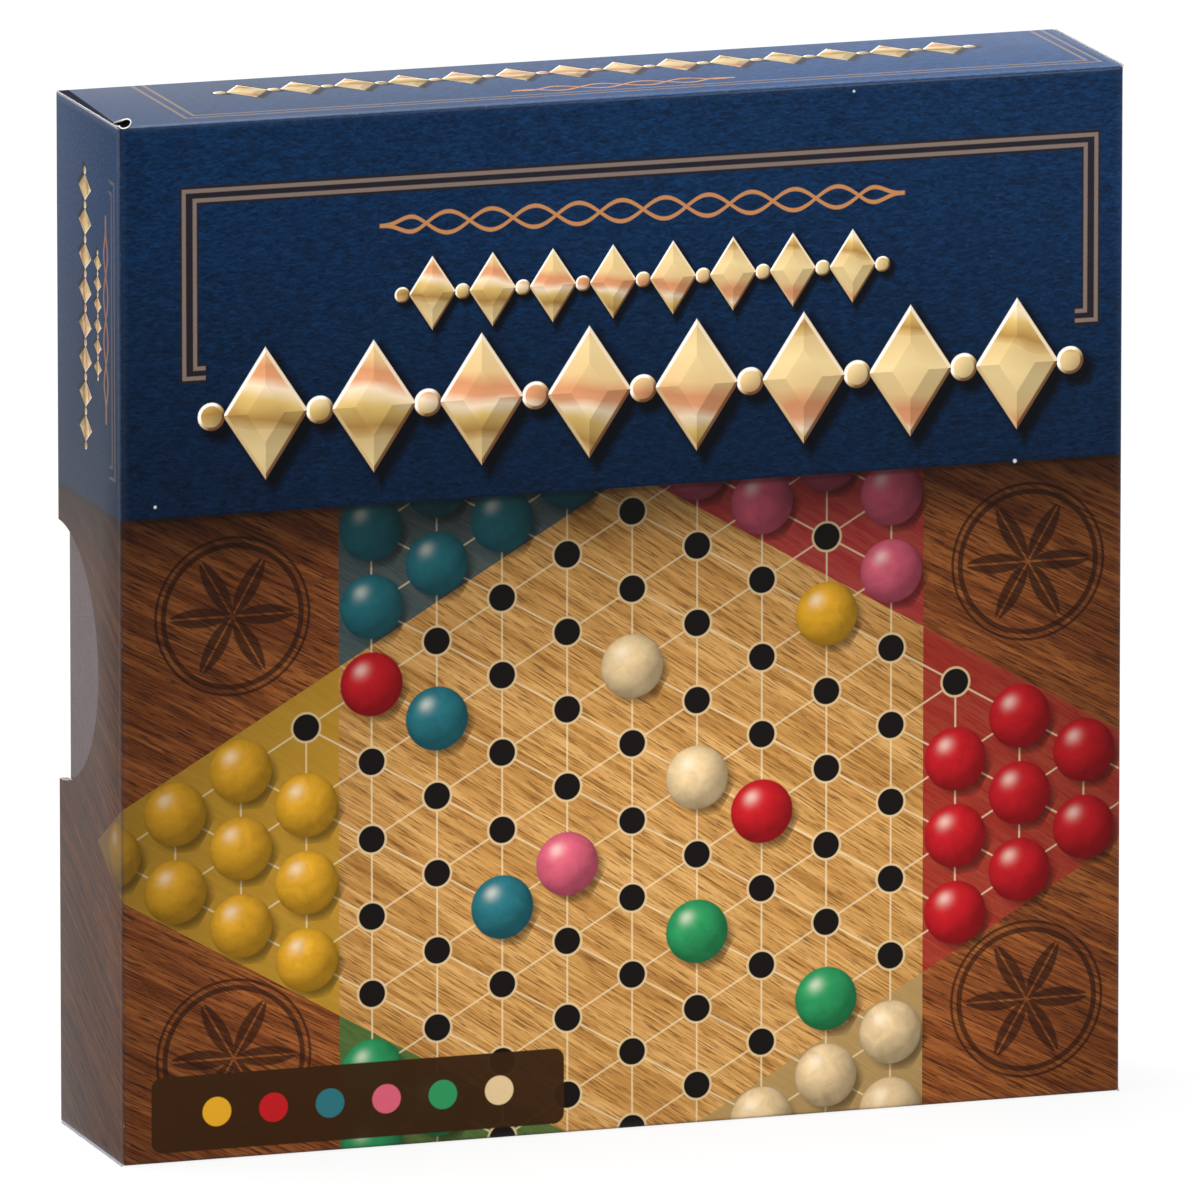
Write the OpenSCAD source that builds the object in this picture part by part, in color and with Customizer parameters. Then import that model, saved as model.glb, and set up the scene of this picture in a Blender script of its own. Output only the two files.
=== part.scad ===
// Boxed star-board marble game: a paper-wrapped rigid box that stands on its lower wall,
// with the lid's printed panel to the front, and the game packed inside it.
// Millimetres. X runs to the right, Y to the back and Z up. The origin is under the middle of the box.

/* [Box] */
// Width of the closed box
box_w = 266.7; // [240:0.1:330]
// Height of the closed box as it stands
box_h = 266.7; // [240:0.1:330]
// Depth of the closed box from front to back
box_d = 53.3; // [48:0.1:80]
// Thickness of the chipboard that the lid and the base are folded from
chipboard_t = 1.6; // [1:0.1:2.4]
// Thickness of the wrapping paper
paper_t = 0.25; // [0.15:0.05:0.5]
// Thickness of the corner tape, which is also the glue space under the paper
tape_t = 0.2; // [0.1:0.05:0.4]
// Reach of the corner tape along each wall
tape_reach = 15; // [8:0.5:25]
// How far the paper is turned in over each rim
turn_in = 15; // [8:0.5:25]
// Play between the lid and the base on each side
lid_play = 0.5; // [0.3:0.05:1]
// How far the rim of the lid stops short of the back of the base
rim_short = 0.5; // [0.3:0.1:3]

/* [Thumb notches] */
// Radius of the half-round notch in each side wall of the lid
notch_r = 33.5; // [15:0.5:38]
// How far the middle of the notch lies below the middle of the wall
notch_drop = 10.35; // [-40:0.05:40]

/* [Insert] */
// Thickness of the formed plastic sheet
sheet_t = 0.8; // [0.5:0.1:1.2]
// Play between the insert and the base on each side
insert_play = 0.4; // [0.3:0.05:1]
// How far the front land of the insert lies behind the rim of the base
land_drop = 1; // [0.5:0.1:3]
// Width of the rim that frames the board
insert_rim = 5; // [3:0.5:9]
// Radius of the upright corners of the insert
insert_corner_r = 4; // [2:0.5:8]
// Space between the marble wells and the rim
well_margin = 12; // [4:0.5:25]

/* [Marbles] */
// Diameter of a marble
marble_d = 13; // [11:0.1:15]
// Space left round each marble
marble_play = 0.3; // [0.2:0.05:0.8]

/* [Board] */
// Thickness of the board's panel
panel_t = 18; // [12:0.5:20]
// Thickness of the printed sheet on the front of the panel
face_t = 0.35; // [0.2:0.05:0.8]
// Thickness of the plain sheet on the back of the panel
back_t = 0.3; // [0.2:0.05:0.8]
// Play between the board and the insert on each side
board_play = 0.6; // [0.3:0.1:1.5]
// How far the board's front lies behind the land of the insert
board_sink = 0.5; // [0.2:0.1:3]
// Radius of the corners of the board
board_corner_r = 5; // [2:0.5:12]
// Space from the outermost sockets to the edge of the board
star_margin = 11; // [6:0.5:25]
// Diameter of a socket
socket_d = 5.5; // [4:0.1:8]
// Depth of a socket in the panel
socket_depth = 5; // [2:0.5:9]

/* [Leaflet] */
// Width of the folded leaflet
leaflet_w = 90; // [60:1:130]
// Height of the folded leaflet
leaflet_h = 190; // [120:1:205]
// Thickness of one leaf
leaf_t = 0.3; // [0.2:0.05:0.5]
// Space between two leaves
leaf_gap = 0.15; // [0.1:0.05:0.3]
// Play between the leaflet and its pocket on each side
leaflet_play = 0.8; // [0.3:0.1:2]

/* [Fits] */
// Gap between pieces that rest on each other
rest_gap = 0.3; // [0.2:0.05:0.6]

/* [Hidden] */
$fn = 64;
cut = 1;

// Layers of one wall, counted from the outer face of the paper
glue_in = paper_t + tape_t;
board_in = glue_in + chipboard_t;
wall_in = board_in + paper_t;

// Planes along the depth
front_y = -box_d / 2;
back_y = box_d / 2;
mid_z = box_h / 2;
lid_depth = box_d - rim_short;
base_rim_y = front_y + board_in + rest_gap;
base_depth = back_y - base_rim_y;
floor_y = back_y - board_in;
land_y = base_rim_y + land_drop;
insert_back_y = floor_y - rest_gap;
board_y = land_y + board_sink;
panel_y = board_y + face_t;
board_back_y = panel_y + panel_t;
deck_y = board_back_y + back_t + rest_gap;

// Distances in from the outer face of the box
base_inset = wall_in + lid_play;
insert_inset = base_inset + wall_in + insert_play;
recess_inset = insert_inset + insert_rim;
board_inset = recess_inset + board_play;
recess_w = box_w - 2 * recess_inset;
recess_h = box_h - 2 * recess_inset;

// Sockets: a six-pointed star on a triangular lattice, four rows in each point
point_rows = 4;
star_rows = 4 * point_rows;
row_rise = sqrt(3) / 2;
board_side = min(box_w, box_h) - 2 * board_inset;
socket_pitch = (board_side - 2 * star_margin) / (star_rows * row_rise);

// Six wells, in two columns and three rows, each for ten marbles in two lines of five
well_rows = 3;
marbles_across = 2;
marbles_along = 5;
marble_pitch = marble_d + marble_play;
well_w = marbles_across * marble_pitch + marble_play;
well_h = marbles_along * marble_pitch + marble_play;
well_depth = marble_d + 2 * rest_gap;
well_x = recess_w / 2 - well_margin - well_w / 2;
well_row_pitch = recess_h / well_rows;
marble_y = deck_y + well_depth - rest_gap - marble_d / 2;

// Leaflet, folded twice into three leaves
leaves = 3;
leaf_step = leaf_t + leaf_gap;
leaflet_t = leaves * leaf_t + (leaves - 1) * leaf_gap;
pocket_depth = leaflet_t + 2 * rest_gap;

navy = [0.09, 0.15, 0.27];
grey_board = [0.62, 0.58, 0.53];
tape_brown = [0.72, 0.62, 0.47];
plain_paper = [0.56, 0.51, 0.51];
tray_black = [0.12, 0.12, 0.13];
oak = [0.74, 0.54, 0.33];
fibre_brown = [0.55, 0.40, 0.26];

function star_point(a, b) =
    let (c = -a - b)
    min(a, b, c) >= -point_rows || max(a, b, c) <= point_rows;

// Centres of all the sockets, from the middle of the board
star = [
    for (a = [-2 * point_rows : 2 * point_rows], b = [-2 * point_rows : 2 * point_rows])
        if (star_point(a, b)) socket_pitch * [a + b / 2, b * row_rise]
];

function well_z(row) = mid_z + ((well_rows - 1) / 2 - row) * well_row_pitch;

// Block between two depths, set in from the outer faces of the box
module block(inset, from, to)
    translate([inset - box_w / 2, from, inset])
        cube([box_w - 2 * inset, to - from, box_h - 2 * inset]);

// Four-sided band between two insets and two depths
module band(outer, inner, from, to)
    difference() {
        block(outer, from, to);
        block(inner, from - cut, to + cut);
    }

// Chipboard tray with its closed panel at depth 0 and its rim at the given depth
module tray_board(inset, depth)
    difference() {
        block(inset + glue_in, glue_in, depth - paper_t);
        block(inset + board_in, board_in, depth + cut);
    }

// Paper over the panel and the walls, round the rim and a little way inside
module tray_wrap(inset, depth) {
    difference() {
        block(inset, 0, depth);
        block(inset + paper_t, paper_t, depth + cut);
    }
    band(inset, inset + wall_in, depth - paper_t, depth);
    band(inset + board_in, inset + wall_in, depth - turn_in, depth);
}

// Strips of tape folded round the four corners of the chipboard
module tray_tapes(inset, depth) {
    reach = glue_in + tape_reach;
    from = glue_in;
    to = depth - paper_t;
    intersection() {
        band(inset + paper_t, inset + glue_in, from, to);
        for (side_x = [-1, 1], side_z = [-1, 1])
            translate([
                side_x * (box_w / 2 - inset - reach / 2),
                (from + to) / 2,
                mid_z + side_z * (box_h / 2 - inset - reach / 2)
            ])
                cube([reach, to - from + cut, reach], center = true);
    }
}

module on_front()
    translate([0, front_y, 0]) children();

module on_back()
    translate([0, back_y, 0]) mirror([0, 1, 0]) children();

// Half-round notches through both side walls, centred on the rim of the lid
module notches()
    translate([0, front_y + lid_depth, mid_z - notch_drop])
        rotate([0, 90, 0])
            for (side = [-1, 1])
                translate([0, 0, side * box_w / 2])
                    cylinder(r = notch_r, h = 2 * (wall_in + cut), center = true);

// Rectangle with round corners
module round_rect(w, h, r) {
    square([w - 2 * r, h], center = true);
    square([w, h - 2 * r], center = true);
    for (x = [-1, 1], z = [-1, 1])
        translate([x * (w / 2 - r), z * (h / 2 - r)])
            circle(r);
}

// Upright plate of that outline between two depths, centred on a point of the front
module plate(w, h, r, from, to, x = 0, z = mid_z)
    translate([x, to, z])
        rotate([90, 0, 0])
            linear_extrude(to - from)
                round_rect(w, h, r);

// Pockets of the insert: the board's recess, six marble wells and the leaflet's pocket
module pockets(grow) {
    from = land_y - cut;
    plate(
        recess_w + 2 * grow, recess_h + 2 * grow, board_corner_r + board_play + grow,
        from, deck_y + grow
    );
    for (side = [-1, 1], row = [0 : well_rows - 1])
        plate(
            well_w + 2 * grow, well_h + 2 * grow, marble_pitch / 2 + grow,
            from, deck_y + well_depth + grow,
            side * well_x, well_z(row)
        );
    plate(
        leaflet_w + 2 * (leaflet_play + grow), leaflet_h + 2 * (leaflet_play + grow),
        leaflet_play + grow,
        from, deck_y + pocket_depth + grow
    );
}

module board_plate(from, to)
    plate(
        box_w - 2 * board_inset, box_h - 2 * board_inset, board_corner_r,
        from, to
    );

// Round holes at the star's points, between two depths
module sockets(from, to)
    for (point = star)
        translate([point.x, to, mid_z + point.y])
            rotate([90, 0, 0])
                cylinder(d = socket_d, h = to - from);

// Ten marbles of one colour in their well
module marble_set(side, row, paint)
    color(paint)
        for (i = [0 : marbles_across - 1], j = [0 : marbles_along - 1])
            translate([
                side * well_x + (i - (marbles_across - 1) / 2) * marble_pitch,
                marble_y,
                well_z(row) + (j - (marbles_along - 1) / 2) * marble_pitch
            ])
                sphere(d = marble_d);

module lid_shell()
    color(grey_board)
        difference() {
            on_front() tray_board(0, lid_depth);
            notches();
        }

module lid_wrap()
    color(navy)
        difference() {
            on_front() tray_wrap(0, lid_depth);
            notches();
        }

module lid_corner_tapes()
    color(tape_brown) on_front() tray_tapes(0, lid_depth);

module base_tray()
    color(grey_board) on_back() tray_board(base_inset, base_depth);

module base_wrap()
    color(plain_paper) on_back() tray_wrap(base_inset, base_depth);

module base_corner_tapes()
    color(tape_brown) on_back() tray_tapes(base_inset, base_depth);

// Formed sheet: an outer form with its pockets, hollowed from the back to an even thickness
module insert_tray() {
    w = box_w - 2 * insert_inset;
    h = box_h - 2 * insert_inset;
    color(tray_black)
        difference() {
            plate(w, h, insert_corner_r, land_y, insert_back_y);
            pockets(0);
            difference() {
                plate(
                    w - 2 * sheet_t, h - 2 * sheet_t, insert_corner_r - sheet_t,
                    land_y + sheet_t, insert_back_y + cut
                );
                pockets(sheet_t);
            }
        }
}

module board_panel()
    color(fibre_brown)
        difference() {
            board_plate(panel_y, board_back_y);
            sockets(panel_y - cut, panel_y + socket_depth);
        }

module board_face()
    color(oak)
        difference() {
            board_plate(board_y, panel_y);
            sockets(board_y - cut, panel_y + cut);
        }

module board_back()
    color(fibre_brown) board_plate(board_back_y, board_back_y + back_t);

module marbles_red() marble_set(-1, 0, "firebrick");
module marbles_green() marble_set(-1, 1, "seagreen");
module marbles_pink() marble_set(-1, 2, "palevioletred");
module marbles_yellow() marble_set(1, 0, "goldenrod");
module marbles_blue() marble_set(1, 1, "teal");
module marbles_white() marble_set(1, 2, "wheat");

// One sheet folded twice: three leaves joined at opposite edges in turn
module rules_leaflet() {
    from = deck_y + pocket_depth - rest_gap - leaflet_t;
    color("ivory")
        translate([-leaflet_w / 2, from, mid_z - leaflet_h / 2]) {
            for (i = [0 : leaves - 1])
                translate([0, i * leaf_step, 0])
                    cube([leaflet_w, leaf_t, leaflet_h]);
            for (i = [0 : leaves - 2])
                translate([i % 2 == 0 ? 0 : leaflet_w - leaf_t, i * leaf_step, 0])
                    cube([leaf_t, leaf_step + leaf_t, leaflet_h]);
        }
}

lid_shell();
lid_wrap();
lid_corner_tapes();
base_tray();
base_wrap();
base_corner_tapes();
insert_tray();
board_panel();
board_face();
board_back();
marbles_red();
marbles_green();
marbles_pink();
marbles_yellow();
marbles_blue();
marbles_white();
rules_leaflet();
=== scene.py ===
# %% [markdown]
# # A boxed star-board game, standing closed
# The real object is a square game box of paper over chipboard, shot as it stands on a shelf.
# Inside lie a star board, a formed tray, sixty marbles and a folded sheet of rules.
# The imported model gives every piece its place, so this lesson loads it first and builds on it.

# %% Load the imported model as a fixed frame
import math
import random

import bpy
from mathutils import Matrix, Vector


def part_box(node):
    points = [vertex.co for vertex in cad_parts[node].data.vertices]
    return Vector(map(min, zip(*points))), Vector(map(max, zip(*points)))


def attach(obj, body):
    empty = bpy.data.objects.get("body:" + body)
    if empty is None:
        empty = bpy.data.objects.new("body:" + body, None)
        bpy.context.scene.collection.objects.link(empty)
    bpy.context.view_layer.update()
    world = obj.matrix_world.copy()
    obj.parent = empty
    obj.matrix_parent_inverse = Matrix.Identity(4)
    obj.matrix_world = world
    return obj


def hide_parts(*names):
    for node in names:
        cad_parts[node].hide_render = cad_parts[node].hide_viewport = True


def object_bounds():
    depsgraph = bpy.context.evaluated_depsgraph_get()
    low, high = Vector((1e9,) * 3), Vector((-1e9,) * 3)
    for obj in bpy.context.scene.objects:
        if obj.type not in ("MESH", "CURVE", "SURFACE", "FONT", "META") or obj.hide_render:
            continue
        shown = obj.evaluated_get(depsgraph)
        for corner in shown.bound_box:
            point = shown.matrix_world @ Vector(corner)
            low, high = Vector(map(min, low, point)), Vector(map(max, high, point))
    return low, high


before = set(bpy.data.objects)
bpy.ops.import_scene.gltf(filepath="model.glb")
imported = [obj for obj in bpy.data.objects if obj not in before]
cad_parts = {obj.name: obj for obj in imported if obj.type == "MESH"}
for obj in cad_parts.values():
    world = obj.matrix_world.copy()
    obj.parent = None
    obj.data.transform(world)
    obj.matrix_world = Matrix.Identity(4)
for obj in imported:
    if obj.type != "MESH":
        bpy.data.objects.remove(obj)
cad_low, cad_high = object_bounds()
MM = 0.001
sides = [round(side / MM, 1) for side in cad_high - cad_low]
print("pieces in the frame:", len(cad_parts), "sides in mm:", sides)

# %% [markdown]
# ## Camera
# The box fills the picture and its edges hardly converge, so the camera stands far away with a
# long lens. A bearing, a height above the horizon and a distance place it: they were worked out
# from the corners of the box in the photograph.

# %% Place the camera
BEARING = math.radians(-18.43)
HEIGHT_ANGLE = math.radians(11.96)
CAMERA_DISTANCE = 6.128
CAMERA_LENS = 724.3
CAMERA_SENSOR = 36
CAMERA_SIGHT = 50
TARGET = Vector((0.0023, 0.0, 0.1317))

towards_camera = Vector((
    math.sin(BEARING) * math.cos(HEIGHT_ANGLE),
    -math.cos(BEARING) * math.cos(HEIGHT_ANGLE),
    math.sin(HEIGHT_ANGLE),
))
bpy.ops.object.camera_add(location=TARGET + CAMERA_DISTANCE * towards_camera)
camera = bpy.context.object
camera.name = "product_camera"
camera.rotation_mode = "QUATERNION"
camera.rotation_quaternion = (-towards_camera).to_track_quat("-Z", "Y")
camera.data.lens = CAMERA_LENS
camera.data.sensor_width = CAMERA_SENSOR
camera.data.clip_end = CAMERA_SIGHT
bpy.context.scene.camera = camera
bpy.context.scene.view_settings.view_transform = "Standard"
print("camera stands at", [round(v, 3) for v in camera.location])

# %% [markdown]
# ## Sums for shaders
# A printed surface is drawn by arithmetic on the place of each point. Chains of Math nodes are
# hard to read, so a small class wraps a socket and lets Python's own operators add the nodes.
# Whatever isn't plain arithmetic goes through its one method for any node.

# %% Wrap a socket so that Python's operators add Math nodes
class Wire:
    """A shader value that takes part in Python sums; each sum adds a Math node."""

    def __init__(self, tree, socket=None):
        self.tree = tree
        self.socket = socket

    def node(self, kind, settings=None, plugs=None, out=0):
        """Add any node: its settings first, then the values or links of its sockets."""
        made = self.tree.nodes.new(kind)
        for key, value in (settings or {}).items():
            if key == "stops":
                set_stops(made.color_ramp, value)
            else:
                setattr(made, key, value)
        for key, value in (plugs or {}).items():
            if isinstance(value, Wire):
                self.tree.links.new(value.socket, made.inputs[key])
            else:
                made.inputs[key].default_value = value
        return Wire(self.tree, made.outputs[out])

    def also(self, out):
        """Another output of the same node."""
        return Wire(self.tree, self.socket.node.outputs[out])

    def math(self, operation, *others):
        plugs = dict(enumerate((self, *others)))
        return self.node("ShaderNodeMath", {"operation": operation}, plugs)

    def __add__(self, other):
        return self.math("ADD", other)

    def __sub__(self, other):
        return self.math("SUBTRACT", other)

    def __mul__(self, other):
        return self.math("MULTIPLY", other)

    def __truediv__(self, other):
        return self.math("DIVIDE", other)

    def __pow__(self, other):
        return self.math("POWER", other)

    def __lt__(self, other):
        return self.math("LESS_THAN", other)

    def __gt__(self, other):
        return self.math("GREATER_THAN", other)

    def __abs__(self):
        return self.math("ABSOLUTE")

    def __rsub__(self, other):
        return self.node("ShaderNodeMath", {"operation": "SUBTRACT"}, {0: other, 1: self})

    def __rtruediv__(self, other):
        return self.node("ShaderNodeMath", {"operation": "DIVIDE"}, {0: other, 1: self})

    __radd__ = __add__
    __rmul__ = __mul__


print("sums for shaders ready")

# %% [markdown]
# Inks are given as a screen shows them. Blender works in linear light, so each ink is turned into
# that once, here. A colour ramp takes its inks as a list of stops.

# %% Helpers for inks and ramps
def ink(red, green, blue):
    """A colour given as on a screen, 0 to 255, turned into Blender's linear light."""
    def linear(value):
        value = value / 255
        return value / 12.92 if value <= 0.04045 else ((value + 0.055) / 1.055) ** 2.4

    return (linear(red), linear(green), linear(blue), 1.0)


def set_stops(gradient, stops):
    """Fill a colour ramp with (place, colour) stops."""
    while len(gradient.elements) < len(stops):
        gradient.elements.new(1.0)
    for element, (place, colour) in zip(gradient.elements, stops):
        element.position = place
        element.color = colour


print("paper white in linear light:", [round(v, 3) for v in ink(236, 233, 228)[:3]])

# %% [markdown]
# A few more helpers cover what a print needs: a soft step, the smaller and the larger of two
# values, a mix of two colours, and a colour made darker. Colours go through Mix and Vector Math
# nodes, because a Math node would turn them grey.

# %% Helpers for masks and colours
def ease(value, start, end):
    """A soft step from 0 at start to 1 at end."""
    return value.node(
        "ShaderNodeMapRange",
        {"interpolation_type": "SMOOTHSTEP"},
        {"Value": value, "From Min": start, "From Max": end},
    )


def least(first, *others):
    """The smallest of several values."""
    for other in others:
        first = first.math("MINIMUM", other)
    return first


def most(first, *others):
    """The largest of several values."""
    for other in others:
        first = first.math("MAXIMUM", other)
    return first


def paint(under, over, mask):
    """Lay one colour over another where a mask is 1."""
    return mask.node("ShaderNodeMix", {"data_type": "RGBA"}, {0: mask, 6: under, 7: over}, 2)


def dim(colour, amount):
    """Make a colour darker or brighter."""
    return amount.node(
        "ShaderNodeVectorMath", {"operation": "SCALE"}, {0: colour, "Scale": amount}
    )


def ramp(value, *stops):
    """Turn a value from 0 to 1 into a colour."""
    return value.node("ShaderNodeValToRGB", {"stops": stops}, {"Fac": value}, "Color")


print("mask and colour helpers ready")

# %% [markdown]
# Grain, fibres and wear are noise. Stretched noise is fed a place whose axes are scaled apart,
# and even noise a place with one scale.

# %% Helpers for places and noise
def vector(x, y, z=0.0):
    """Three values as one vector."""
    return x.node("ShaderNodeCombineXYZ", None, {0: x, 1: y, 2: z})


def split(place):
    """The three values of a vector."""
    parts = place.node("ShaderNodeSeparateXYZ", None, {0: place})
    return [parts.also(axis) for axis in range(3)]


def noise(place, detail=3.0, rough=0.55, warp=0.0):
    """Cloudy noise between 0 and 1."""
    return place.node(
        "ShaderNodeTexNoise",
        {"noise_dimensions": "3D"},
        {"Vector": place, "Scale": 1.0, "Detail": detail, "Roughness": rough, "Distortion": warp},
        "Fac",
    )


def clouds(place, scale, *settings):
    """Noise of one scale along x, y and z."""
    return noise(vector(*(axis * scale for axis in place)), *settings)


def length(u, v):
    """Length of a step of u and v."""
    return (u * u + v * v).math("SQRT")


print("noise helpers ready")

# %% [markdown]
# Every finish is one Principled shader. It reads the place of a point on its own piece in
# millimetres, so that patterns have real sizes and move with the piece.

# %% Helpers to start and fill a finish
def new_finish(name):
    """Start a material; return it, its shader, and its place: x, y and z in millimetres."""
    material = bpy.data.materials.new(name)
    material.use_nodes = True
    tree = material.node_tree
    spot = Wire(tree).node("ShaderNodeTexCoord", out="Object")
    return material, tree.nodes["Principled BSDF"], [axis / MM for axis in split(spot)]


def plug(shader, **sockets):
    """Set or link the shader's sockets; names use _ for a space."""
    for name, value in sockets.items():
        socket = shader.inputs[name.replace("_", " ")]
        if isinstance(value, Wire):
            value.tree.links.new(value.socket, socket)
        else:
            socket.default_value = value


def bumped(shader, height, strength, depth_mm):
    """Let a height pattern tilt the surface's normals."""
    settings = {"Height": height, "Strength": strength, "Distance": depth_mm * MM}
    plug(shader, Normal=height.node("ShaderNodeBump", None, settings, "Normal"))


print("finish helpers ready")

# %% [markdown]
# ## Stage
# A product shot has a white sweep under soft lamps. The floor is one large plane. The camera and
# reflections see it nearly as plain white, with enough of its real shading left for the box's
# shadow. What it throws back on the box is a quieter grey, so that the walls keep their shade.

# %% Lay the floor and set the world
def light_path(tree):
    """1 for rays that see or mirror the background, 0 for rays that light the box."""
    rays = Wire(tree).node("ShaderNodeLightPath", out="Is Camera Ray")
    return most(rays, rays.also("Is Glossy Ray"), rays.also("Is Transmission Ray"))


FLOOR_SIZE = 16.0
FLOOR_GAP = 0.2 * MM
FLOOR_SEEN = ink(246, 246, 246)
FLOOR_BOUNCE = ink(178, 178, 178)
FLOOR_GLOW = 0.84
AMBIENT = 0.12
WHITE = (1, 1, 1, 1)

bpy.ops.object.select_all(action="DESELECT")
bpy.ops.mesh.primitive_plane_add(size=FLOOR_SIZE, location=(0, 0, cad_low.z - FLOOR_GAP))
floor = bpy.context.object
floor.name = "studio_floor"
floor_finish, floor_shader, _ = new_finish("studio_white")
floor_tree = floor_finish.node_tree
floor_colour = paint(FLOOR_BOUNCE, FLOOR_SEEN, light_path(floor_tree))
plug(floor_shader, Base_Color=floor_colour, Roughness=0.9, Specular_IOR_Level=0.0)
glow = Wire(floor_tree).node("ShaderNodeEmission", None, {"Color": WHITE, "Strength": 1.0})
mixed = glow.node(
    "ShaderNodeMixShader",
    None,
    {0: light_path(floor_tree) * FLOOR_GLOW, 1: Wire(floor_tree, floor_shader.outputs[0]), 2: glow},
)
floor_tree.links.new(mixed.socket, floor_tree.nodes["Material Output"].inputs["Surface"])
floor.data.materials.append(floor_finish)

world = bpy.data.worlds.new("studio_world")
world.use_nodes = True
bpy.context.scene.world = world
sky = world.node_tree.nodes["Background"]
sky.inputs["Color"].default_value = WHITE
sky_strength = light_path(world.node_tree) * (1 - AMBIENT) + AMBIENT
world.node_tree.links.new(sky_strength.socket, sky.inputs["Strength"])
print("floor at z =", round(floor.location.z, 5))

# %% [markdown]
# The front is lit evenly and a little more from the right, the top catches a sheen, and the left
# wall stays in half shade. Two large lamps high on the right, one above and a weak one on the left
# give that. A last one behind keeps the back readable.

# %% Hang the lamps
LAMP_SIZE = 1.4
LAMPS = {
    "key_lamp": ((1.8, -2.6, 1.6), 90),
    "front_lamp": ((1.2, -2.9, 2.3), 50),
    "top_lamp": ((-0.4, 0.5, 2.5), 72),
    "left_lamp": ((-3.0, -0.8, 1.0), 22),
    "back_lamp": ((-2.0, 3.0, 1.6), 40),
}

for lamp_name, (place, power) in LAMPS.items():
    bpy.ops.object.light_add(type="AREA", location=place)
    lamp = bpy.context.object
    lamp.name = lamp_name
    lamp.data.size = LAMP_SIZE
    lamp.data.energy = power
    lamp.rotation_mode = "QUATERNION"
    lamp.rotation_quaternion = (TARGET - Vector(place)).to_track_quat("-Z", "Y")
print("lamps hung:", len(bpy.data.lights))

# %% [markdown]
# ## Working by hand, in code
# Every new piece starts as a primitive of the right size and is shaped in edit mode. These
# helpers choose one object, and then choose its faces or edges by where they are.

# %% Helpers to choose a piece and its parts
def object_mode():
    bpy.ops.object.mode_set(mode="OBJECT")


def alone(piece):
    """Make one piece the only selected and active object, in object mode."""
    if bpy.context.object and bpy.context.object.mode != "OBJECT":
        object_mode()
    bpy.ops.object.select_all(action="DESELECT")
    piece.select_set(True)
    bpy.context.view_layer.objects.active = piece


def pick(piece, kind, test):
    """Enter edit mode with only those faces or edges selected that pass a test."""
    alone(piece)
    bpy.ops.object.mode_set(mode="EDIT")
    bpy.ops.mesh.select_mode(type=kind)
    bpy.ops.mesh.select_all(action="DESELECT")
    object_mode()
    points = piece.data.vertices
    if kind == "FACE":
        for face in piece.data.polygons:
            face.select = test(face.center, face.normal)
    else:
        for edge in piece.data.edges:
            edge.select = test(*(points[i].co for i in edge.vertices))
    bpy.ops.object.mode_set(mode="EDIT")


def pick_all(piece):
    """Enter edit mode with everything selected."""
    alone(piece)
    bpy.ops.object.mode_set(mode="EDIT")
    bpy.ops.mesh.select_all(action="SELECT")


def near(value, goal, slack=0.05 * MM):
    return abs(value - goal) < slack


print("choosing helpers ready")

# %% [markdown]
# A finished piece sits at the origin, unturned, with its place in its mesh, so that its patterns
# don't slide. The place and size of a primitive are therefore applied as soon as it is added.

# %% Helpers to add a piece
def add(name, primitive, scale=(1, 1, 1), **settings):
    """Add a primitive by its operator, named, with its size and place in its mesh."""
    bpy.ops.object.select_all(action="DESELECT")
    primitive(**settings)
    piece = bpy.context.object
    piece.name = name
    piece.data.name = name
    piece.scale = scale
    bpy.ops.object.transform_apply(location=True, rotation=True, scale=True)
    return piece


def block(name, low, high):
    """Add a cube that fills a box."""
    low, high = Vector(low), Vector(high)
    middle = (low + high) / 2
    return add(name, bpy.ops.mesh.primitive_cube_add, high - low, size=1, location=middle)


print("adding helpers ready")

# %% [markdown]
# Modifiers round, cut and thicken a whole mesh in one go, which would be slow by hand. Each one is
# applied as soon as it is set, so that the next step sees the shape it left.

# %% Helpers to change a piece
def modify(piece, kind, **settings):
    """Add a modifier, set it and apply it."""
    alone(piece)
    bpy.ops.object.modifier_add(type=kind)
    modifier = piece.modifiers[-1]
    for key, value in settings.items():
        setattr(modifier, key, value)
    bpy.ops.object.modifier_apply(modifier=modifier.name)


def thicken(piece, thickness, offset):
    """Turn a surface into a sheet: inwards with an offset of -1, half each way with 0."""
    modify(piece, "SOLIDIFY", thickness=thickness, offset=offset, use_even_offset=True)


def cut_out(piece, tool):
    """Take a tool's shape out of a piece, and the tool away."""
    modify(piece, "BOOLEAN", object=tool, operation="DIFFERENCE", solver="EXACT")
    bpy.data.objects.remove(tool)


def finish_faces(piece, finish, test):
    """Give a further finish to the faces that pass a test, and count them."""
    piece.data.materials.append(finish)
    chosen = [face for face in piece.data.polygons if test(face)]
    for face in chosen:
        face.material_index = len(piece.data.materials) - 1
    return len(chosen)


def smooth(piece, degrees=35):
    """Shade smoothly across edges flatter than an angle."""
    alone(piece)
    bpy.ops.object.shade_smooth_by_angle(angle=math.radians(degrees))


print("modelling helpers ready")

# %% [markdown]
# ## Paper over a tray
# The lid and the base are wrapped alike: one sheet covers the panel, folds over the four walls,
# goes round the rim and is turned in a little way. By hand that is a box without its rim face,
# with its folds rounded, its rim drawn in and then down, and a thickness given at the end.
# The folds along the panel are softer than those at the corners, so each edge has its own weight.

# %% Fold paper over five sides of a box
PAPER = 0.25 * MM
WALL = 2.30 * MM
TURN_IN = 15 * MM
PANEL_FOLD = 1.15 * MM
CORNER_FOLD = 0.7 * MM
FOLD_STEPS = 4
WEIGHT_BY_RIM_ENDS = (1, CORNER_FOLD / PANEL_FOLD, 0)


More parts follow.
